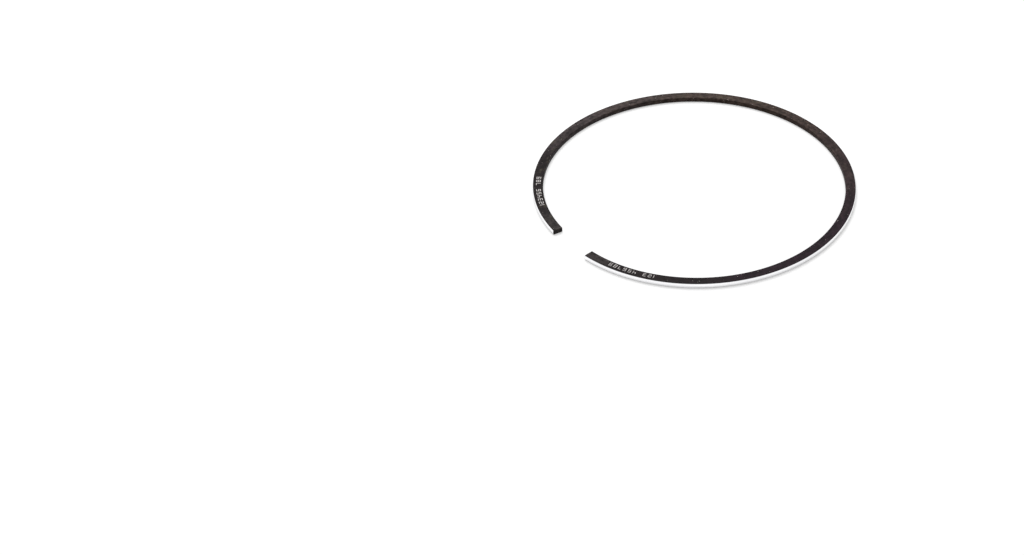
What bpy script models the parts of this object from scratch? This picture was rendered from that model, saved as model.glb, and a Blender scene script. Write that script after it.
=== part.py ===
"""A chrome-faced top compression ring of a small engine, lying free: one C-shaped piece of spring steel.

In its bore the ring is round and its ends almost meet. Out of the bore it springs open. The free line is
the one that an even pressure all round bends back into the bore's circle, so the back of the ring is the
flattest and the curve tightens towards the ends. A nearly rectangular section is swept along that line.

Metres, +Z up. The lower side lies on Z = 0 and the gap faces -Y. The origin is the middle of that side.
"""

import math

import bmesh
import bpy
from mathutils import Vector

MM = 0.001

# The ring in its bore
BORE_DIAMETER = 71.0 * MM
WALL = 2.4 * MM
SIDE_HEIGHT = 1.2 * MM
END_CLEARANCE = 0.2 * MM

# The ring out of its bore: how far its ends stand apart, at the middle of the wall
FREE_GAP = 11.5 * MM

# The section: how far the running face bulges, and the radii that break its edges
BARREL_RISE = 0.012 * MM
FACE_EDGE_RADIUS = 0.25 * MM
BORE_EDGE_RADIUS = 0.16 * MM

# The two end faces: the radius round their edges, at most this share of the section's own radii
END_EDGE_RADIUS = 0.07 * MM
END_RADIUS_SHARE = 0.8

# How finely the curves are divided, and how often the opening is corrected towards the free gap
STATIONS = 168
BARREL_STEPS = 6
EDGE_STEPS = 4
END_STEPS = 2
GAP_CORRECTIONS = 4

# Faces that meet at less than this angle are shaded smooth
SMOOTH_UNDER = math.radians(50)

# The plated face turns at least this much of its normal away from the middle of the ring
PLATED_OVER = 0.7


def clear_scene():
    """Remove whatever the file holds, so that only the ring is left in it."""
    for thing in list(bpy.data.objects):
        bpy.data.objects.remove(thing, do_unlink=True)


def add_collection(name):
    """A new collection under the scene's own."""
    collection = bpy.data.collections.new(name)
    bpy.context.scene.collection.children.link(collection)
    return collection


def plain_metal(name, colour, metallic, roughness):
    """A Principled material of one colour."""
    material = bpy.data.materials.new(name)
    material.use_nodes = True
    shader = material.node_tree.nodes["Principled BSDF"]
    shader.inputs["Base Color"].default_value = (*colour, 1.0)
    shader.inputs["Metallic"].default_value = metallic
    shader.inputs["Roughness"].default_value = roughness
    material.diffuse_color = (*colour, 1.0)
    return material


def heading_vector(angle):
    """The flat unit vector that points along an angle from +X."""
    return Vector((math.cos(angle), math.sin(angle)))


def opened_line(opening):
    """Points along the middle of the wall, from one end of the ring round the back to the other.

    Closed, the line is a circle and phi is the angle from its back. An even pressure bends the free ring
    most at the back and not at all at the ends, so opening it takes away (1 + cos phi) of the curvature,
    times the opening share. The line's heading is the sum of what curvature is left.
    """
    radius = (BORE_DIAMETER - WALL) / 2
    last_phi = math.pi - END_CLEARANCE / (2 * radius)
    step = 2 * last_phi / STATIONS
    points = [Vector((0.0, 0.0))]
    for i in range(STATIONS):
        phi = -last_phi + (i + 0.5) * step
        # The back of the ring is at +Y, where the line runs towards -X.
        heading = math.pi + phi - opening * (phi + math.sin(phi))
        points.append(points[-1] + heading_vector(heading) * radius * step)
    return points


def free_line():
    """The opened line whose ends stand the free gap apart, which grows almost evenly with the opening."""
    opening = FREE_GAP / (3 * math.pi * BORE_DIAMETER / 2)
    for _ in range(GAP_CORRECTIONS):
        points = opened_line(opening)
        opening *= FREE_GAP / (points[-1] - points[0]).length
    return opened_line(opening)


def centred(points):
    """The line moved so that the box of the ring's outer edge is centred on the origin."""
    outline = []
    for i, point in enumerate(points):
        behind = points[max(i - 1, 0)]
        ahead = points[min(i + 1, len(points) - 1)]
        along = (ahead - behind).normalized()
        outline.append(point + Vector((along.y, -along.x)) * WALL / 2)
    xs = [p.x for p in outline]
    ys = [p.y for p in outline]
    middle = Vector((max(xs) + min(xs), max(ys) + min(ys))) / 2
    return [p - middle for p in points]


def rounded_corner(corner, radius, first_angle):
    """Points of the quarter circle that rounds a corner of the section, from first_angle on."""
    towards_corner = heading_vector(first_angle + math.pi / 4)
    centre = corner - towards_corner * radius * math.sqrt(2)
    turns = [first_angle + i * math.pi / 2 / EDGE_STEPS for i in range(EDGE_STEPS + 1)]
    return [centre + heading_vector(turn) * radius for turn in turns]


def barrel_face(low, high):
    """Points of the running face between two heights. It bulges to the full wall at mid height."""
    points = []
    for i in range(1, BARREL_STEPS):
        share = 2 * i / BARREL_STEPS - 1
        height = (low + high) / 2 + share * (high - low) / 2
        points.append(Vector((WALL / 2 - BARREL_RISE * share**2, height)))
    return points


def section_outline():
    """The section's points, from the running face's lower edge on. X runs away from the bore's axis."""
    face = WALL / 2 - BARREL_RISE
    bore = -WALL / 2
    points = rounded_corner(Vector((face, 0)), FACE_EDGE_RADIUS, -math.pi / 2)
    points += barrel_face(FACE_EDGE_RADIUS, SIDE_HEIGHT - FACE_EDGE_RADIUS)
    points += rounded_corner(Vector((face, SIDE_HEIGHT)), FACE_EDGE_RADIUS, 0)
    points += rounded_corner(Vector((bore, SIDE_HEIGHT)), BORE_EDGE_RADIUS, math.pi / 2)
    points += rounded_corner(Vector((bore, 0)), BORE_EDGE_RADIUS, math.pi)
    return points


def poly_curve(name, points, cyclic, collection):
    """A curve object through flat points."""
    curve = bpy.data.curves.new(name, "CURVE")
    curve.dimensions = "3D"
    curve.twist_mode = "Z_UP"
    spline = curve.splines.new("POLY")
    spline.points.add(len(points) - 1)
    for spline_point, place in zip(spline.points, points):
        spline_point.co = (place.x, place.y, 0.0, 1.0)
    spline.use_cyclic_u = cyclic
    guide = bpy.data.objects.new(name, curve)
    collection.objects.link(guide)
    return guide


def shortened(points, length):
    """The line with the same length taken off each of its ends."""
    first, second = points[:2]
    before_last, last = points[-2:]
    start = first + (second - first).normalized() * length
    end = last + (before_last - last).normalized() * length
    return [start, *points[1:-1], end]


def swept_shape(line, section):
    """The section swept along the line, as a bmesh open at both ends. The two guide curves are removed."""
    line.data.bevel_mode = "OBJECT"
    line.data.bevel_object = section
    graph = bpy.context.evaluated_depsgraph_get()
    mesh = bpy.data.meshes.new_from_object(line.evaluated_get(graph))
    bpy.data.objects.remove(line, do_unlink=True)
    bpy.data.objects.remove(section, do_unlink=True)
    shape = bmesh.new()
    shape.from_mesh(mesh)
    bpy.data.meshes.remove(mesh)
    return shape


def close_ends(shape, radius):
    """Close both ends, and carry each face on by the radius while a quarter circle draws it in."""
    rims = [edge for edge in shape.edges if edge.is_boundary]
    ends = bmesh.ops.holes_fill(shape, edges=rims, sides=0)["faces"]
    bmesh.ops.recalc_face_normals(shape, faces=shape.faces)
    turns = [i * math.pi / 2 / END_STEPS for i in range(END_STEPS + 1)]
    for before, after in zip(turns, turns[1:]):
        inwards = radius * (math.cos(before) - math.cos(after))
        onwards = radius * (math.sin(after) - math.sin(before))
        for end in ends:
            bmesh.ops.inset_region(
                shape,
                faces=[end],
                thickness=inwards,
                depth=onwards,
                use_boundary=True,
                use_even_offset=True,
            )


def finish_surfaces(mesh):
    """Blacken the ring all over but for its plated running face, and shade its curves smooth."""
    mesh.materials.append(plain_metal("black_phosphate", (0.035, 0.031, 0.029), 0.0, 0.5))
    mesh.materials.append(plain_metal("hard_chrome", (0.78, 0.78, 0.79), 1.0, 0.16))
    for face in mesh.polygons:
        away_from_middle = Vector((face.center.x, face.center.y, 0)).normalized()
        face.material_index = 1 if face.normal.dot(away_from_middle) > PLATED_OVER else 0
    mesh.shade_smooth()
    mesh.set_sharp_from_angle(angle=SMOOTH_UNDER)


def build_ring():
    """Build the ring as one named object."""
    parts = add_collection("piston_ring")
    end_radius = min(END_EDGE_RADIUS, END_RADIUS_SHARE * min(FACE_EDGE_RADIUS, BORE_EDGE_RADIUS))
    line_points = shortened(centred(free_line()), end_radius)
    line = poly_curve("free_line", line_points, False, parts)
    section = poly_curve("section", section_outline(), True, parts)
    shape = swept_shape(line, section)
    close_ends(shape, end_radius)
    mesh = bpy.data.meshes.new("piston_ring")
    shape.to_mesh(mesh)
    shape.free()
    finish_surfaces(mesh)
    ring = bpy.data.objects.new("piston_ring", mesh)
    parts.objects.link(ring)


def main():
    """Clear the scene and build the ring."""
    clear_scene()
    build_ring()


main()
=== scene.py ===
"""The looks of a chrome-faced top compression ring that lies free on a pale floor.

The ring is one C-shaped piece of spring steel. Its sides, its bore and its two ends are phosphated black. Its
running face is hard chrome, lapped bright, and the layer shows as a thin rim along both sides. A row of plain
numbers is etched on the upper side of each arm.

The classes work in millimetres, because the radii of the edges are hundredths of one. A finished mesh is
brought to metres. Closed in its bore the ring is a circle, so it is modelled as that circle and then sprung
open.
"""

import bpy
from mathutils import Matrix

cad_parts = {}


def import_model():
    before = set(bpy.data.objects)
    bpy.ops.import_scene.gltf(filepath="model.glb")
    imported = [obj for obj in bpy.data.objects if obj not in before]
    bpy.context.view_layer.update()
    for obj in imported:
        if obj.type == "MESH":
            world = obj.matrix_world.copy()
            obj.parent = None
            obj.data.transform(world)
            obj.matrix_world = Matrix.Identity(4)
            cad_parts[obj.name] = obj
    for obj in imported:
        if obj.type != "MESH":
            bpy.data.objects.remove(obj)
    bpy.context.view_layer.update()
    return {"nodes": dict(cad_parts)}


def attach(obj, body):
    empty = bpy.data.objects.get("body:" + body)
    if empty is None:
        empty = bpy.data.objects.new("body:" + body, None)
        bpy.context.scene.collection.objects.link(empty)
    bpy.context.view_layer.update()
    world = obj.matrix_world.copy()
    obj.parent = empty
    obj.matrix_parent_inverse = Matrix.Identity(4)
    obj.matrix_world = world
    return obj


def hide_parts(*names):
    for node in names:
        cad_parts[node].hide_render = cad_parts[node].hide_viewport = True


frame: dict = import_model()

import logging
import math
from dataclasses import dataclass, field
from enum import Enum
from typing import Any, Optional, Union

import bmesh
import bpy
from mathutils import Matrix, Vector

log = logging.getLogger("piston_ring")

METRES_PER_MM = 0.001
PLACE_ON_BAR = "bar_place"
BAKE_MAP = "OFBake"

Colour = tuple[float, float, float]
Lengths = tuple[float, float, float]
Span = tuple[float, float]


# ---------------------------------------------------------------- shader maths


class Value:
    """A number that changes over a surface. Python's operators on it add Math nodes to its recipe."""

    def __init__(self, recipe: "Recipe", socket: bpy.types.NodeSocket) -> None:
        """Wrap a socket.

        Args:
            recipe: the node tree that the socket belongs to.
            socket: the output that carries the number.
        """
        self.recipe = recipe
        self.socket = socket

    def __add__(self, other: "Number") -> "Value":
        """This number plus another."""
        return self.recipe.maths("ADD", self, other)

    __radd__ = __add__

    def __sub__(self, other: "Number") -> "Value":
        """This number less another."""
        return self.recipe.maths("SUBTRACT", self, other)

    def __rsub__(self, other: "Number") -> "Value":
        """Another number less this one."""
        return self.recipe.maths("SUBTRACT", other, self)

    def __mul__(self, other: "Number") -> "Value":
        """This number times another."""
        return self.recipe.maths("MULTIPLY", self, other)

    __rmul__ = __mul__

    def __truediv__(self, other: "Number") -> "Value":
        """This number divided by another."""
        return self.recipe.maths("DIVIDE", self, other)

    def __abs__(self) -> "Value":
        """This number without its sign."""
        return self.recipe.maths("ABSOLUTE", self)

    def least(self, other: "Number") -> "Value":
        """The smaller of this number and another."""
        return self.recipe.maths("MINIMUM", self, other)

    def most(self, other: "Number") -> "Value":
        """The larger of this number and another."""
        return self.recipe.maths("MAXIMUM", self, other)

    def rising(self, low: float, high: float) -> "Value":
        """A smooth step.

        Args:
            low: where the step starts, at 0.
            high: where it ends, at 1. It may be below low, and the step then falls.

        Returns:
            A number from 0 to 1.
        """
        inputs = {"Value": self, "From Min": min(low, high), "From Max": max(low, high)}
        step = self.recipe.node("ShaderNodeMapRange", {"interpolation_type": "SMOOTHSTEP"}, inputs)
        risen = Value(self.recipe, step.outputs["Result"])
        return risen if high > low else 1 - risen


Number = Union[Value, float, int]


class Recipe:
    """The node tree of one finish, emptied but for its output and shader."""

    def __init__(self, tree: bpy.types.NodeTree) -> None:
        """Take over a node tree.

        Args:
            tree: the tree of a material or of the world.
        """
        self.tree = tree

    def node(
        self, kind: str, settings: Optional[dict] = None, inputs: Optional[dict] = None
    ) -> bpy.types.Node:
        """Add any node.

        Args:
            kind: the node's type, such as ShaderNodeTexNoise.
            settings: the node's own properties, which are set first. A ramp's are its stops.
            inputs: by a socket's identifier, the number, colour, Value or output socket that it takes.

        Returns:
            The node.
        """
        made = self.tree.nodes.new(kind)
        for name, setting in (settings or {}).items():
            if name == "stops":
                self._set_stops(made.color_ramp, setting)
            else:
                setattr(made, name, setting)
        self.feed(made, inputs or {})
        return made

    def _set_stops(self, ramp: bpy.types.ColorRamp, stops: list[tuple[float, float]]) -> None:
        """Give a ramp its stops, and let it hold each one's grey until the next.

        Args:
            ramp: the ramp, which has its two first stops.
            stops: the place and the shade of each stop, in order.
        """
        ramp.interpolation = "CONSTANT"
        while len(ramp.elements) > 1:
            ramp.elements.remove(ramp.elements[-1])
        for i, (place, shade) in enumerate(stops):
            stop = ramp.elements.new(place) if i else ramp.elements[0]
            stop.position = place
            stop.color = (shade, shade, shade, 1.0)

    def feed(self, made: bpy.types.Node, inputs: dict) -> None:
        """Give a node's sockets their values or links.

        Args:
            made: the node.
            inputs: by a socket's identifier, the number, colour, Value or output socket that it takes.
        """
        sockets = {socket.identifier: socket for socket in made.inputs}
        for name, source in inputs.items():
            if isinstance(source, Value):
                source = source.socket
            if isinstance(source, bpy.types.NodeSocket):
                self.tree.links.new(source, sockets[name])
            else:
                sockets[name].default_value = source

    def maths(self, operation: str, *terms: Number) -> Value:
        """Add a Math node.

        Args:
            operation: the node's operation.
            terms: its one, two or three numbers.

        Returns:
            Its result.
        """
        names = ("Value", "Value_001", "Value_002")
        made = self.node("ShaderNodeMath", {"operation": operation}, dict(zip(names, terms)))
        return Value(self, made.outputs["Value"])

    def blended(self, share: Number, first: Any, second: Any, way: str = "MIX") -> bpy.types.NodeSocket:
        """Blend two colours.

        Args:
            share: how much of the second colour there is, from 0 to 1.
            first: a colour or a socket.
            second: a colour or a socket.
            way: the blending mode of the Mix node.

        Returns:
            The socket of the blended colour.
        """
        inputs = {"Factor_Float": share, "A_Color": opaque(first), "B_Color": opaque(second)}
        made = self.node("ShaderNodeMix", {"data_type": "RGBA", "blend_type": way}, inputs)
        return next(socket for socket in made.outputs if socket.identifier == "Result_Color")

    def noise(self, place: bpy.types.NodeSocket, stretch: Lengths, detail: float, seed: float) -> Value:
        """Add a noise whose grain has its own length in each direction.

        Args:
            place: the place on the bar, in millimetres.
            stretch: the grain's size along, across and up, in millimetres.
            detail: how many finer octaves there are.
            seed: a number that makes this noise unlike the others.

        Returns:
            The noise, from 0 to 1 and mostly near 0.5.
        """
        scale = tuple(1 / length for length in stretch)
        settings = {"operation": "MULTIPLY"}
        shrunk = self.node("ShaderNodeVectorMath", settings, {"Vector": place, "Vector_001": scale})
        inputs = {"Vector": shrunk.outputs["Vector"], "W": seed, "Scale": 1.0, "Detail": detail}
        made = self.node("ShaderNodeTexNoise", {"noise_dimensions": "4D"}, inputs)
        return Value(self, made.outputs["Fac"])

    def any_of(self, *flags: Value) -> Value:
        """Join flags.

        Args:
            flags: numbers that are 0 or 1.

        Returns:
            1 where any of them is 1, and 0 elsewhere.
        """
        found = flags[0]
        for flag in flags[1:]:
            found = found.most(flag)
        return found


def opaque(colour: Any) -> Any:
    """A colour with its alpha, or the socket as it came."""
    return (*colour, 1.0) if isinstance(colour, tuple) and len(colour) == 3 else colour


@dataclass(frozen=True)
class Surface:
    """What a finish says of a surface.

    Attributes:
        colour: the base colour.
        metallic: 1 where it is bare metal.
        roughness: how dull it is.
        height: how far it stands up, in millimetres.
    """

    colour: Any
    metallic: Number
    roughness: Number
    height: Number

    def under(self, recipe: Recipe, other: "Surface", share: Value) -> "Surface":
        """This surface with another one over it.

        Args:
            recipe: the node tree of both.
            other: the surface on top.
            share: how much of the other one covers this one, from 0 to 1.

        Returns:
            The two as one surface.
        """
        return Surface(
            recipe.blended(share, self.colour, other.colour),
            share * (other.metallic - self.metallic) + self.metallic,
            share * (other.roughness - self.roughness) + self.roughness,
            share * (other.height - self.height) + self.height,
        )


# ---------------------------------------------------------------- the ring's shape


@dataclass(frozen=True)
class RingSizes:
    """The sizes of the ring in millimetres, as its solid has them."""

    bore: float = 71.0
    wall: float = 2.4
    side_height: float = 1.2
    end_clearance: float = 0.2
    free_gap: float = 11.5
    barrel_rise: float = 0.012
    face_edge_radius: float = 0.25
    bore_edge_radius: float = 0.16
    end_edge_radius: float = 0.07
    plated_reach: float = 0.085
    bare_end: float = 0.04

    @property
    def middle_radius(self) -> float:
        """The radius of the middle of the wall when the ring is closed."""
        return (self.bore - self.wall) / 2

    @property
    def last_phi(self) -> float:
        """The angle from the back of the closed ring to one of its ends."""
        return math.pi - self.end_clearance / (2 * self.middle_radius)

    @property
    def arm_length(self) -> float:
        """The length along the middle of the wall from the back to one of the ends."""
        return self.middle_radius * self.last_phi


@dataclass
class FreeLine:
    """The middle of the wall of the ring when it lies free.

    An even pressure round the ring bends it most at its back and not at all at its ends, so opening it takes
    away (1 + cos phi) of its curvature, times the opening share. phi is the angle from the back of the closed
    ring, which is at +Y, and it grows towards -X.
    """

    sizes: RingSizes
    stations: int = 1440
    corrections: int = 4
    opening: float = field(init=False)
    places: list[Vector] = field(init=False)

    def __post_init__(self) -> None:
        """Open the ring until its ends stand the free gap apart, and centre it on the origin."""
        gap = self.sizes.free_gap
        self.opening = gap / (3 * math.pi * self.sizes.bore / 2)
        for _ in range(self.corrections):
            self.places = self._opened()
            self.opening *= gap / (self.places[-1] - self.places[0]).length
        self.places = self._opened()
        outline = [
            place + self.outwards(self._phi(i)) * self.sizes.wall / 2
            for i, place in enumerate(self.places)
        ]
        xs = [point.x for point in outline]
        ys = [point.y for point in outline]
        middle = Vector((max(xs) + min(xs), max(ys) + min(ys))) / 2
        self.places = [place - middle for place in self.places]

    def _phi(self, station: float) -> float:
        """The angle at a station, which may lie between two."""
        return self.sizes.last_phi * (2 * station / self.stations - 1)

    def _heading(self, phi: float) -> float:
        """The direction in which the free line runs, as an angle from +X."""
        return math.pi + phi - self.opening * (phi + math.sin(phi))

    def _opened(self) -> list[Vector]:
        """Lay the stations out for the present opening.

        Returns:
            Their places, from one end of the ring to the other.
        """
        step = 2 * self.sizes.arm_length / self.stations
        places = [Vector((0.0, 0.0))]
        for i in range(self.stations):
            heading = self._heading(self._phi(i + 0.5))
            places.append(places[-1] + Vector((math.cos(heading), math.sin(heading))) * step)
        return places

    def outwards(self, phi: float) -> Vector:
        """The flat unit vector that points away from the bore."""
        heading = self._heading(phi)
        return Vector((math.sin(heading), -math.cos(heading)))

    def free_place(self, phi: float, out: float, up: float) -> Vector:
        """Where a point of the closed ring goes when the ring springs open.

        Args:
            phi: its angle from the back.
            out: how far it is outside the middle of the wall.
            up: its height.

        Returns:
            Its place in the free ring.
        """
        station = (phi / self.sizes.last_phi + 1) * self.stations / 2
        before = min(max(math.floor(station), 0), self.stations - 1)
        place = self.places[before].lerp(self.places[before + 1], station - before)
        flat = place + self.outwards(phi) * out
        return Vector((flat.x, flat.y, up))


@dataclass
class RingBody:
    """The ring itself, turned closed round its bore and sprung open."""

    sizes: RingSizes
    line: FreeLine
    turn_steps: int = 720
    corner_steps: int = 5
    end_steps: int = 4
    barrel_steps: int = 8
    side_steps: int = 12
    bore_steps: int = 6
    strips: int = 5
    strip_margin: float = 0.3
    sharp_over: float = math.radians(60)
    girth: float = field(init=False)
    turned_phi: float = field(init=False)

    def build(self) -> bpy.types.Object:
        """Build the ring as one closed mesh.

        Returns:
            The ring, in metres, with the place on the bar of each of its points.
        """
        shape = self._section()
        self._turn(shape)
        self._close_ends(shape)
        self._note_places(shape)
        self._lay_out_map(shape)
        self._spring_open(shape)
        mesh = bpy.data.meshes.new("compression_ring")
        shape.to_mesh(mesh)
        shape.free()
        mesh.shade_smooth()
        mesh.set_sharp_from_angle(angle=self.sharp_over)
        ring = bpy.data.objects.new("compression_ring", mesh)
        bpy.context.scene.collection.objects.link(ring)
        return ring

    def _section(self) -> bmesh.types.BMesh:
        """Model the outline of the section, standing in the XZ plane with X away from the bore.

        Returns:
            The outline as edges, each with its length round the section so far.
        """
        sizes = self.sizes
        face = sizes.wall / 2 - sizes.barrel_rise
        width = face + sizes.wall / 2
        shape = bmesh.new()
        bmesh.ops.create_grid(shape, x_segments=1, y_segments=1, size=0.5)
        bmesh.ops.scale(shape, vec=(width, sizes.side_height, 1.0), verts=shape.verts)
        bmesh.ops.translate(shape, vec=(face - width / 2, sizes.side_height / 2, 0.0), verts=shape.verts)
        for outside, radius in ((True, sizes.face_edge_radius), (False, sizes.bore_edge_radius)):
            corners = [vert for vert in shape.verts if (vert.co.x > 0) is outside]
            bmesh.ops.bevel(
                shape,
                geom=corners,
                offset=radius,
                offset_type="OFFSET",
                segments=self.corner_steps,
                profile=0.5,
                affect="VERTICES",
                material=-1,
            )
        self._divide_sides(shape, width)
        self._crown_face(shape, face)
        bmesh.ops.delete(shape, geom=shape.faces[:], context="FACES_ONLY")
        upright = Matrix.Rotation(math.pi / 2, 3, "X")
        bmesh.ops.rotate(shape, cent=(0, 0, 0), matrix=upright, verts=shape.verts)
        self._measure_girth(shape)
        return shape

    def _divide_sides(self, shape: bmesh.types.BMesh, width: float) -> None:
        """Divide the long edges of the section.

        Args:
            shape: the section, with its corners rounded.
            width: its width, which tells its sides from its two faces.
        """
        long_edges = sorted(shape.edges, key=lambda edge: edge.calc_length())[-4:]
        for edge in long_edges:
            middle = (edge.verts[0].co + edge.verts[1].co) / 2
            is_side = edge.calc_length() > width / 2
            is_running_face = middle.x > width / 4
            cuts = self.side_steps if is_side else self.barrel_steps if is_running_face else self.bore_steps
            bmesh.ops.subdivide_edges(shape, edges=[edge], cuts=cuts - 1)

    def _crown_face(self, shape: bmesh.types.BMesh, face: float) -> None:
        """Let the running face bulge to the full wall at mid height.

        Args:
            shape: the section.
            face: how far out the face stands at its edges.
        """
        half = self.sizes.side_height / 2
        reach = half - self.sizes.face_edge_radius
        for vert in shape.verts:
            if vert.co.x > face - 1e-5:
                share = (vert.co.y - half) / reach
                vert.co.x += self.sizes.barrel_rise * max(1 - share**2, 0.0)

    def _measure_girth(self, shape: bmesh.types.BMesh) -> None:
        """Write on each vertex its length round the section, from the middle of the lower side on.

        Args:
            shape: the outline of the section.
        """
        layer = shape.verts.layers.float.new("girth")
        start = min(shape.verts, key=lambda vert: (round(vert.co.z, 4), abs(vert.co.x)))
        vert, edge, length = start, start.link_edges[0], 0.0
        if edge.other_vert(start).co.x < start.co.x:
            edge = start.link_edges[1]
        while True:
            vert[layer] = length
            length += edge.calc_length()
            vert = edge.other_vert(vert)
            if vert is start:
                break
            edge = next(other for other in vert.link_edges if other is not edge)
        self.girth = length

    def _turn(self, shape: bmesh.types.BMesh) -> None:
        """Turn the section round the bore, from just before one end to just before the other.

        Args:
            shape: the outline of the section, which becomes a bar that is open at both ends.
        """
        radius = self.sizes.middle_radius
        bmesh.ops.translate(shape, vec=(radius, 0.0, 0.0), verts=shape.verts)
        self.turned_phi = self.sizes.last_phi - self.sizes.end_edge_radius / radius
        start = Matrix.Rotation(math.pi / 2 - self.turned_phi, 3, "Z")
        bmesh.ops.rotate(shape, cent=(0, 0, 0), matrix=start, verts=shape.verts)
        bmesh.ops.spin(
            shape,
            geom=shape.verts[:] + shape.edges[:],
            cent=(0, 0, 0),
            axis=(0, 0, 1),
            angle=2 * self.turned_phi,
            steps=self.turn_steps,
            use_merge=False,
            use_duplicate=False,
        )

    def _close_ends(self, shape: bmesh.types.BMesh) -> None:
        """Close both ends, and carry each face on by the radius while a quarter circle draws it in.

        Args:
            shape: the bar, open at both ends.
        """
        rims = [edge for edge in shape.edges if edge.is_boundary]
        ends = bmesh.ops.holes_fill(shape, edges=rims, sides=0)["faces"]
        bmesh.ops.recalc_face_normals(shape, faces=shape.faces)
        radius = self.sizes.end_edge_radius
        turns = [i * math.pi / 2 / self.end_steps for i in range(self.end_steps + 1)]
        for before, after in zip(turns, turns[1:]):
            for end in ends:
                bmesh.ops.inset_region(
                    shape,
                    faces=[end],
                    thickness=radius * (math.cos(before) - math.cos(after)),
                    depth=radius * (math.sin(after) - math.sin(before)),
                    use_boundary=True,
                    use_even_offset=True,
                )

    def _note_places(self, shape: bmesh.types.BMesh) -> None:
        """Write on each vertex its place on the bar: along it from the back, out from its middle, and up.

        Args:
            shape: the ring as it is when closed round its bore.
        """
        place = shape.verts.layers.float_vector.new(PLACE_ON_BAR)
        radius = self.sizes.middle_radius
        for vert in shape.verts:
            phi = math.atan2(-vert.co.x, vert.co.y)
            out = math.hypot(vert.co.x, vert.co.y) - radius
            vert[place] = (radius * phi, out, vert.co.z)

    def _spring_open(self, shape: bmesh.types.BMesh) -> None:
        """Move each vertex from its place on the bar to its place in the free ring, in metres.

        Args:
            shape: the closed ring, with the place on the bar of each vertex.
        """
        place = shape.verts.layers.float_vector[PLACE_ON_BAR]
        for vert in shape.verts:
            along, out, up = vert[place]
            phi = along / self.sizes.middle_radius
            vert.co = self.line.free_place(phi, out, up) * METRES_PER_MM
        bmesh.ops.recalc_face_normals(shape, faces=shape.faces)

    def _lay_out_map(self, shape: bmesh.types.BMesh) -> None:
        """Lay the surface out flat, as strips of the ring one above the other with the two ends over them.

        Args:
            shape: the closed ring, with the girth and the place on the bar of each vertex.
        """
        sizes = self.sizes
        uv = shape.loops.layers.uv.new(BAKE_MAP)
        girth = shape.verts.layers.float["girth"]
        place = shape.verts.layers.float_vector[PLACE_ON_BAR]
        half = sizes.middle_radius * self.turned_phi
        strip = 2 * half / self.strips
        margin = self.strip_margin
        pitch = self.girth + margin
        size = strip + 2 * margin
        for face in shape.faces:
            centre = sum((vert[place] for vert in face.verts), Vector()) / len(face.verts)
            is_end = abs(centre.x) > half
            row = min(int((centre.x + half) / strip), self.strips - 1)
            wraps = max(vert[girth] for vert in face.verts) > self.girth / 2
            for loop in face.loops:
                along, out, up = loop.vert[place]
                if is_end:
                    x = sizes.wall * (2 + math.copysign(1.0, centre.x)) + out
                    y = self.strips * pitch + up
                else:
                    around = loop.vert[girth]
                    if wraps and around < self.girth / 4:
                        around += self.girth
                    x = along + half - row * strip
                    y = row * pitch + around
                loop[uv].uv = ((x + margin) / size, (y + margin) / size)


# ---------------------------------------------------------------- the ring's finishes


class Bar(Enum):
    """The bars of an etched digit: the middle of each, and how far it reaches, across and up.

    The lengths are shares of half the digit's width and half its height.
    """

    HEAD = (0.0, 1.0, 1.0, 0.0)
    WAIST = (0.0, 0.0, 1.0, 0.0)
    FOOT = (0.0, -1.0, 1.0, 0.0)
    HIGH_LEFT = (-1.0, 0.5, 0.0, 0.5)
    HIGH_RIGHT = (1.0, 0.5, 0.0, 0.5)
    LOW_LEFT = (-1.0, -0.5, 0.0, 0.5)
    LOW_RIGHT = (1.0, -0.5, 0.0, 0.5)


LEFT_OUT = {
    "1": {Bar.HEAD, Bar.WAIST, Bar.FOOT, Bar.HIGH_LEFT, Bar.LOW_LEFT},
    "2": {Bar.HIGH_LEFT, Bar.LOW_RIGHT},
    "3": {Bar.HIGH_LEFT, Bar.LOW_LEFT},
    "4": {Bar.HEAD, Bar.FOOT, Bar.LOW_LEFT},
    "5": {Bar.HIGH_RIGHT, Bar.LOW_LEFT},
    "6": {Bar.HIGH_RIGHT},
    "7": {Bar.WAIST, Bar.FOOT, Bar.HIGH_LEFT, Bar.LOW_LEFT},
    "8": set(),
    "9": {Bar.LOW_LEFT},
    " ": set(Bar),
}


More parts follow.
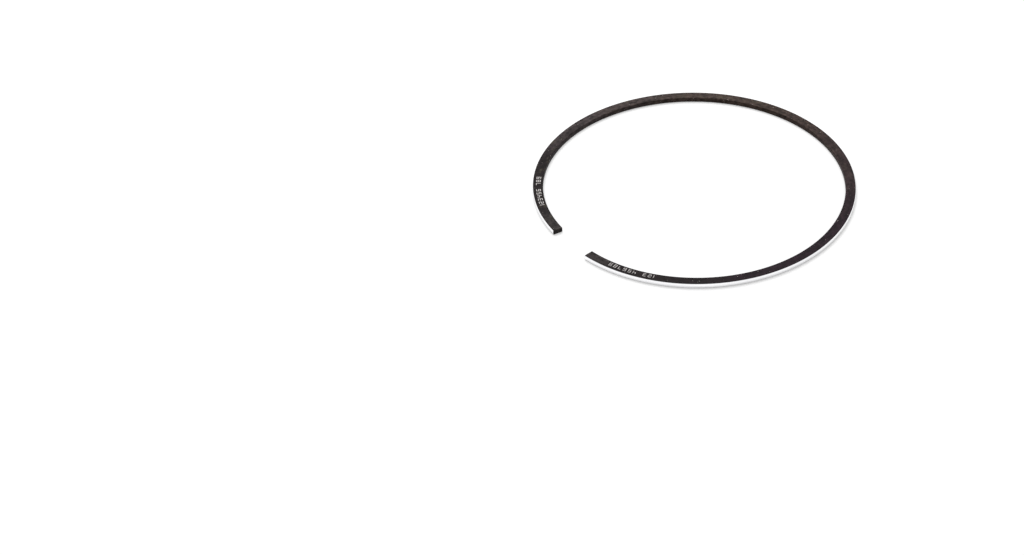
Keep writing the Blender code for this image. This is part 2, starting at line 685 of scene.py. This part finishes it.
@dataclass(frozen=True)
class EtchedNumbers:
    """A row of digits etched on the upper side, read from the bore with their heads outwards.

    Attributes:
        digits: the digits and spaces in reading order, which is clockwise.
        start: the place along the bar of the middle of the first digit, in millimetres.
        pitch: the distance from one digit to the next.
        half_width: how far a digit's upright strokes stand from its middle.
        half_height: how far its head and foot do.
        middle: how far outside the middle of the wall the digits' middles lie.
        stroke: half the width of a stroke.
        ragged: how softly a stroke ends at its sides.
    """

    digits: str
    start: float
    pitch: float = 1.22
    half_width: float = 0.3
    half_height: float = 0.46
    middle: float = -0.14
    stroke: float = 0.062
    ragged: float = 0.02

    def mask(self, along: Value, out: Value) -> Value:
        """Draw the row.

        Args:
            along: the place along the bar, in millimetres.
            out: the distance outside the middle of the wall.

        Returns:
            1 on the strokes and 0 off them.
        """
        recipe = along.recipe
        place = (self.start - along) / self.pitch + 0.5
        cell = recipe.maths("FLOOR", place)
        x = (place - cell - 0.5) * self.pitch
        y = out - self.middle
        nearest = abs(x) + self.pitch
        for bar in Bar:
            across, up, half_across, half_up = bar.value
            from_sides = abs(x - across * self.half_width) - half_across * self.half_width
            from_ends = abs(y - up * self.half_height) - half_up * self.half_height
            left_out = self._left_out(recipe, cell, bar)
            nearest = nearest.least(from_sides.most(from_ends) + left_out)
        return nearest.rising(self.stroke + self.ragged, self.stroke - self.ragged)

    def _left_out(self, recipe: Recipe, cell: Value, bar: Bar) -> Value:
        """Say which digits of the row lack a bar.

        Args:
            recipe: the node tree.
            cell: the number of the digit in the row, from 0 on.
            bar: the bar.

        Returns:
            1 in the places of the digits that lack it and beyond both ends of the row, and 0 elsewhere.
        """
        cells = len(self.digits) + 2
        stops = [(0.0, 1.0)]
        stops += [((i + 0.5) / cells, float(bar in LEFT_OUT[digit])) for i, digit in enumerate(self.digits)]
        stops.append(((len(self.digits) + 0.5) / cells, 1.0))
        ramp = recipe.node("ShaderNodeValToRGB", {"stops": stops}, {"Fac": (cell + 1) / cells})
        return Value(recipe, ramp.outputs["Color"])


@dataclass(frozen=True)
class BlackPhosphate:
    """Oiled manganese phosphate: near black, matt and uneven, with a fine crystal grain.

    Along the ring the black changes: one flank is dark and plum coloured, the back is brown and the other
    flank is greyer. The tints are the phosphate's own, but how light or dark each stretch is, is painted
    light:
    a lamp's sheen, lighter at the back and on the greyer flank, darker on the plum one. Both arms are darkest
    near their marks, which is painted shadow, and their tips are a little lighter.

    Places are counted along the bar from the back, and sizes along, across and up, in millimetres. A name that
    ends in _where or _range gives the two values of a grain between which a look sets in.
    """

    plum: Colour = (0.023, 0.013, 0.019)
    brown: Colour = (0.078, 0.054, 0.045)
    mauve: Colour = (0.072, 0.057, 0.058)
    # painted shadow colour for both arms near their marks
    painted_shadow: Colour = (0.018, 0.013, 0.014)
    tips: Colour = (0.044, 0.037, 0.037)
    olive: Colour = (0.063, 0.055, 0.039)
    speck: Colour = (0.60, 0.56, 0.52)
    # lighter rub: wear at the long edges, also painted light on the end faces
    worn_and_lit: Colour = (0.12, 0.105, 0.095)
    plum_until: float = -42.0
    brown_from: float = 20.0
    brown_until: float = 22.0
    mauve_from: float = 62.0
    painted_shadow_until: float = 65.0
    painted_shadow_from: float = 84.0
    tips_until: float = 98.0
    tips_from: float = 104.0
    roughness: float = 0.47
    cloud_size: Lengths = (11.0, 3.0, 3.0)
    patch_size: Lengths = (2.6, 0.9, 0.9)
    mottle_size: Lengths = (1.0, 0.7, 0.7)
    grain_size: Lengths = (0.07, 0.05, 0.05)
    drawn_size: Lengths = (4.0, 0.05, 0.05)
    dot_size: Lengths = (0.36, 0.28, 0.28)
    drift_reach: float = 50.0
    olive_where: Span = (0.54, 0.68)
    olive_share: float = 0.7
    mottle_range: Span = (0.28, 0.72)
    grain_range: Span = (0.25, 0.75)
    least_shade: float = 0.22
    worn_edge: float = 0.10
    worn_and_lit_tip: Span = (0.6, 0.1)
    worn_and_lit_where: Span = (0.36, 0.60)
    worn_and_lit_share: float = 0.5
    speck_where: Span = (0.80, 0.83)
    grain_height: float = 0.0045
    mottle_height: float = 0.008
    drawn_height: float = 0.0015

    def surface(
        self, recipe: Recipe, place: bpy.types.NodeSocket, along: Value, edge: Value, tip: Value
    ) -> Surface:
        """Describe the finish.

        Args:
            recipe: the node tree.
            place: the place on the bar, in millimetres.
            along: its part along the bar.
            edge: the distance over the surface to the nearest long edge.
            tip: the distance over the surface to the edges of the nearest end.

        Returns:
            The finish as a surface.
        """
        cloud = recipe.noise(place, self.cloud_size, 2.0, 1.0)
        patch = recipe.noise(place, self.patch_size, 3.0, 2.0)
        mottle = recipe.noise(place, self.mottle_size, 4.0, 3.0)
        grain = recipe.noise(place, self.grain_size, 2.0, 4.0)
        drawn = recipe.noise(place, self.drawn_size, 2.0, 5.0)
        dots = recipe.noise(place, self.dot_size, 0.0, 6.0)
        # drift sets the tone along the ring: painted light (a lamp's sheen, lighter at the back) over the
        # phosphate's own tints
        drift = along + (cloud - 0.5) * self.drift_reach
        browned = drift.rising(self.plum_until, self.brown_from)
        colour = recipe.blended(browned, self.plum, self.brown)
        colour = recipe.blended(drift.rising(self.brown_until, self.mauve_from), colour, self.mauve)
        # painted shadow: both arms darker near their marks
        colour = recipe.blended(abs(drift).rising(self.painted_shadow_until, self.painted_shadow_from), colour, self.painted_shadow)
        colour = recipe.blended(abs(along).rising(self.tips_until, self.tips_from), colour, self.tips)
        olive = patch.rising(*self.olive_where) * browned * self.olive_share
        colour = recipe.blended(olive, colour, self.olive)
        uneven = mottle.rising(*self.mottle_range) * 1.1 + (patch - 0.5) * 1.2
        shade = uneven + grain.rising(*self.grain_range) * 0.3 + self.least_shade
        colour = recipe.blended(1.0, colour, grey(recipe, shade), "MULTIPLY")
        # Rubbed lighter within a tenth of a millimetre of the long edges, which is wear. Round each end it
        # reaches over most of the end face, and there it is also painted light on the ends.
        near_edge = edge.rising(self.worn_edge, 0.0).most(tip.rising(*self.worn_and_lit_tip))
        rubbed_and_lit = near_edge * mottle.rising(*self.worn_and_lit_where)
        colour = recipe.blended(rubbed_and_lit * self.worn_and_lit_share, colour, self.worn_and_lit)
        colour = recipe.blended(dots.rising(*self.speck_where), colour, self.speck)
        roughness = self.roughness + (mottle - 0.5) * 0.3 + (grain - 0.5) * 0.2 - rubbed_and_lit * 0.12
        height = grain * self.grain_height + mottle * self.mottle_height + drawn * self.drawn_height
        return Surface(colour, 0.0, roughness, height)


def grey(recipe: Recipe, shade: Value) -> bpy.types.NodeSocket:
    """A grey of the given strength, as a colour."""
    made = recipe.node("ShaderNodeCombineColor", None, {"Red": shade, "Green": shade, "Blue": shade})
    return made.outputs["Color"]


@dataclass(frozen=True)
class HardChrome:
    """Hard chrome, lapped in its bore: bright, with fine lines that run round the ring."""

    bright: Colour = (0.97, 0.97, 0.975)
    dull: Colour = (0.88, 0.88, 0.90)
    roughness: float = 0.2
    line_size: Lengths = (7.0, 0.035, 0.035)
    band_size: Lengths = (12.0, 0.3, 0.16)
    band_range: Span = (0.3, 0.7)
    line_height: float = 0.0012

    def surface(self, recipe: Recipe, place: bpy.types.NodeSocket) -> Surface:
        """Describe the finish.

        Args:
            recipe: the node tree.
            place: the place on the bar, in millimetres.

        Returns:
            The finish as a surface.
        """
        lines = recipe.noise(place, self.line_size, 3.0, 11.0)
        bands = recipe.noise(place, self.band_size, 2.0, 12.0)
        colour = recipe.blended(bands.rising(*self.band_range), self.bright, self.dull)
        roughness = self.roughness + (bands - 0.5) * 0.16 + (lines - 0.5) * 0.12
        return Surface(colour, 1.0, roughness, lines * self.line_height)


@dataclass(frozen=True)
class EtchedSteel:
    """Bare steel where the mark is etched through the black."""

    colour: Colour = (0.88, 0.84, 0.82)
    metallic: float = 0.3
    roughness: float = 0.5
    grain_size: Lengths = (0.05, 0.05, 0.05)
    grain_range: Span = (0.2, 0.8)
    least_shade: float = 0.6
    grain_height: float = 0.003
    depth: float = 0.004

    def surface(self, recipe: Recipe, place: bpy.types.NodeSocket) -> Surface:
        """Describe the finish.

        Args:
            recipe: the node tree.
            place: the place on the bar, in millimetres.

        Returns:
            The finish as a surface.
        """
        grain = recipe.noise(place, self.grain_size, 1.0, 21.0)
        shade = grain.rising(*self.grain_range) * 0.5 + self.least_shade
        colour = recipe.blended(1.0, self.colour, grey(recipe, shade), "MULTIPLY")
        return Surface(colour, self.metallic, self.roughness, grain * self.grain_height - self.depth)


@dataclass(frozen=True)
class RingFinish:
    """All of the ring's surfaces in one material: black, plated where it runs, and etched with its marks.

    Attributes:
        sizes: the sizes of the ring.
        black: the finish of the sides, the bore and the ends.
        chrome: the finish of the running face.
        etched: the finish of the numbers.
        sheen: how strongly the black mirrors what is round it.
        skin: how far under the upper side the etching begins to show, and where it shows whole.
        break_size: the grain of the gaps in the strokes.
        break_range: the values of that grain under which a stroke is gone and over which it is whole.
        rag_size: the grain of the plating's ragged edge.
        rag_reach: how far that edge strays.
        plating_fade: half the width over which the plating ends towards the sides.
        end_fade: the width over which it ends towards the ends of the ring.
        left_row_from_end: how far from its end the row of the left arm starts.
        right_row_from_end: how far from its end the row of the right arm starts.
        right_row_stroke: half the width of the right row's strokes.
    """

    sizes: RingSizes
    black: BlackPhosphate = BlackPhosphate()
    chrome: HardChrome = HardChrome()
    etched: EtchedSteel = EtchedSteel()
    sheen: float = 0.05
    skin: Span = (0.03, 0.01)
    break_size: Lengths = (0.12, 0.1, 0.1)
    break_range: Span = (0.28, 0.42)
    rag_size: Lengths = (0.3, 0.1, 0.1)
    rag_reach: float = 0.02
    plating_fade: float = 0.015
    end_fade: float = 0.05
    left_row_from_end: float = 9.8
    right_row_from_end: float = 17.6
    right_row_stroke: float = 0.045

    def material(self) -> bpy.types.Material:
        """Make the material.

        Returns:
            The material, which reads each point's place on the bar.
        """
        made = bpy.data.materials.new("phosphated_and_chromed_steel")
        made.use_nodes = True
        recipe = Recipe(made.node_tree)
        shader = made.node_tree.nodes["Principled BSDF"]
        settings = {"attribute_type": "GEOMETRY", "attribute_name": PLACE_ON_BAR}
        place = recipe.node("ShaderNodeAttribute", settings).outputs["Vector"]
        parts = recipe.node("ShaderNodeSeparateXYZ", None, {"Vector": place})
        along, out, up = (Value(recipe, parts.outputs[axis]) for axis in "XYZ")
        half_wall = self.sizes.wall / 2
        half_height = self.sizes.side_height / 2
        from_side = (half_height - abs(up - half_height)).most(0)
        edge = (half_wall - abs(out)).most(0) + from_side
        tip = (self.sizes.arm_length - abs(along)).most(0) + from_side
        surface = self.black.surface(recipe, place, along, edge, tip)
        marks = self._marks(along, out)
        broken = recipe.noise(place, self.break_size, 2.0, 31.0).rising(*self.break_range)
        below, above = (self.sizes.side_height - depth for depth in self.skin)
        on_top = up.rising(below, above)
        surface = surface.under(recipe, self.etched.surface(recipe, place), marks * broken * on_top)
        ragged = (recipe.noise(place, self.rag_size, 2.0, 32.0) - 0.5) * self.rag_reach
        limit = half_wall - self.sizes.plated_reach
        last = self.sizes.arm_length - self.sizes.bare_end
        plated = (out + ragged).rising(limit - self.plating_fade, limit + self.plating_fade)
        covered = (abs(along) + ragged).rising(last, last - self.end_fade)
        surface = surface.under(recipe, self.chrome.surface(recipe, place), plated * covered)
        bump = recipe.node("ShaderNodeBump", None, {"Distance": METRES_PER_MM, "Height": surface.height})
        recipe.feed(
            shader,
            {
                "Base Color": surface.colour,
                "Metallic": surface.metallic,
                "Roughness": surface.roughness,
                "Specular IOR Level": self.sheen,
                "Normal": bump.outputs["Normal"],
            },
        )
        return made

    def _marks(self, along: Value, out: Value) -> Value:
        """Draw the row of numbers on each arm.

        Args:
            along: the place along the bar, in millimetres.
            out: the distance outside the middle of the wall.

        Returns:
            1 on the strokes of both rows and 0 off them.
        """
        arm = self.sizes.arm_length
        left = EtchedNumbers("123456 789", start=arm - self.left_row_from_end)
        right_start = -(arm - self.right_row_from_end)
        right = EtchedNumbers("123 456789", start=right_start, stroke=self.right_row_stroke)
        return left.mask(along, out).most(right.mask(along, out))


# ---------------------------------------------------------------- the studio


@dataclass(frozen=True)
class PaleFloor:
    """A white floor that takes soft shadows.

    Attributes:
        half_width: half its width, in metres.
        cast: its white for light that it throws on to things.
        seen: its white where it is seen.
        own_light: how strongly it shines by itself where it is seen.
    """

    half_width: float = 3.0
    cast: float = 0.20
    seen: float = 1.0
    own_light: float = 0.30

    def build(self) -> bpy.types.Object:
        """Build the floor.

        Returns:
            The floor, which isn't part of the ring.
        """
        shape = bmesh.new()
        bmesh.ops.create_grid(shape, x_segments=1, y_segments=1, size=self.half_width)
        mesh = bpy.data.meshes.new("pale_floor")
        shape.to_mesh(mesh)
        shape.free()
        mesh.materials.append(self._material())
        floor = bpy.data.objects.new("pale_floor", mesh)
        bpy.context.scene.collection.objects.link(floor)
        return floor

    def _material(self) -> bpy.types.Material:
        """Make the floor's white, which the eye and the chrome see as a plain background.

        Returns:
            The material.
        """
        made = bpy.data.materials.new("pale_floor")
        made.use_nodes = True
        recipe = Recipe(made.node_tree)
        shader = made.node_tree.nodes["Principled BSDF"]
        shows = as_background(recipe)
        white = grey(recipe, self.cast + shows * (self.seen - self.cast))
        inputs = {"Base Color": white, "Roughness": 1.0, "Specular IOR Level": 0.0}
        inputs |= {"Emission Color": (1.0, 1.0, 1.0, 1.0), "Emission Strength": shows * self.own_light}
        recipe.feed(shader, inputs)
        return made


def as_background(recipe: Recipe) -> Value:
    """Tell light that is seen from light that falls on things.

    Args:
        recipe: the node tree.

    Returns:
        1 for light that is seen, straight or in metal or glass, and 0 for light that falls on things.
    """
    path = recipe.node("ShaderNodeLightPath").outputs
    names = ("Is Camera Ray", "Is Glossy Ray", "Is Transmission Ray")
    seen = recipe.any_of(*(Value(recipe, path[name]) for name in names))
    return seen * Value(recipe, path["Diffuse Depth"]).rising(1.0, 0.0)


@dataclass(frozen=True)
class SoftLamp:
    """A square soft box that looks at the ring. Angles are in degrees, and lengths are in metres."""

    name: str
    azimuth: float
    elevation: float
    distance: float
    size: float
    watts: float
    colour: Colour = (1.0, 1.0, 1.0)

    def build(self) -> bpy.types.Object:
        """Hang the lamp.

        Returns:
            The lamp, turned towards the origin.
        """
        light = bpy.data.lights.new(self.name, "AREA")
        light.shape = "SQUARE"
        light.size = self.size
        light.energy = self.watts
        light.color = self.colour
        lamp = bpy.data.objects.new(self.name, light)
        turn, tilt = math.radians(self.azimuth), math.radians(self.elevation)
        level = math.cos(tilt)
        away = Vector((math.cos(turn) * level, math.sin(turn) * level, math.sin(tilt)))
        lamp.location = away * self.distance
        lamp.rotation_euler = away.to_track_quat("Z", "Y").to_euler()
        lamp.visible_camera = False
        bpy.context.scene.collection.objects.link(lamp)
        return lamp


@dataclass(frozen=True)
class Studio:
    """The floor, the lamps and the white round them, whose sky_level is its light on things."""

    floor: PaleFloor = PaleFloor()
    lamps: tuple[SoftLamp, ...] = (
        SoftLamp("soft_key", 160.0, 58.0, 0.60, 0.45, 1.83),
    )
    sky_level: float = 0.47

    def build(self) -> bpy.types.Object:
        """Set up the studio.

        Returns:
            The floor.
        """
        world = bpy.data.worlds.new("white_room")
        world.use_nodes = True
        bpy.context.scene.world = world
        recipe = Recipe(world.node_tree)
        background = world.node_tree.nodes["Background"]
        strength = self.sky_level + (1 - self.sky_level) * as_background(recipe)
        recipe.feed(background, {"Color": (1.0, 1.0, 1.0, 1.0), "Strength": strength})
        for lamp in self.lamps:
            lamp.build()
        bpy.context.scene.view_settings.view_transform = "Standard"
        return self.floor.build()


@dataclass(frozen=True)
class PhotoCamera:
    """The camera of the photograph. Lengths are in millimetres and angles in degrees."""

    heading: float = 146.071
    downwards: float = 37.95
    roll: float = -2.974
    look_at: tuple[float, float] = (0.948, -53.049)
    distance: float = 646.89
    sensor: float = 36.0
    focal_share: float = 2900 / 1024

    def build(self) -> bpy.types.Object:
        """Set up the camera.

        Returns:
            The camera, which the scene then looks through.
        """
        data = bpy.data.cameras.new("photo_camera")
        data.sensor_width = self.sensor
        data.lens = self.sensor * self.focal_share
        data.clip_start = 0.01
        camera = bpy.data.objects.new("photo_camera", data)
        turned = Matrix.Rotation(math.radians(self.heading - 90), 4, "Z")
        tilted = Matrix.Rotation(math.radians(90 - self.downwards), 4, "X")
        rolled = Matrix.Rotation(math.radians(self.roll), 4, "Z")
        turn = turned @ tilted @ rolled
        back = turn.to_3x3() @ Vector((0.0, 0.0, 1.0))
        place = Vector((*self.look_at, 0.0)) + back * self.distance
        camera.matrix_world = Matrix.Translation(place * METRES_PER_MM) @ turn
        bpy.context.scene.collection.objects.link(camera)
        bpy.context.scene.camera = camera
        return camera


# ---------------------------------------------------------------- putting it together


def main() -> None:
    """Set up the camera and the studio, and put the ring in its place."""
    logging.basicConfig(level=logging.INFO, format="%(name)s: %(message)s")
    PhotoCamera().build()
    Studio().build()
    sizes = RingSizes()
    ring = RingBody(sizes, FreeLine(sizes)).build()
    ring.data.materials.append(RingFinish(sizes).material())
    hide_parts("piston_ring")
    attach(ring, "root")
    log.info("%s: %d faces", ring.name, len(ring.data.polygons))


if __name__ == "__main__":
    main()
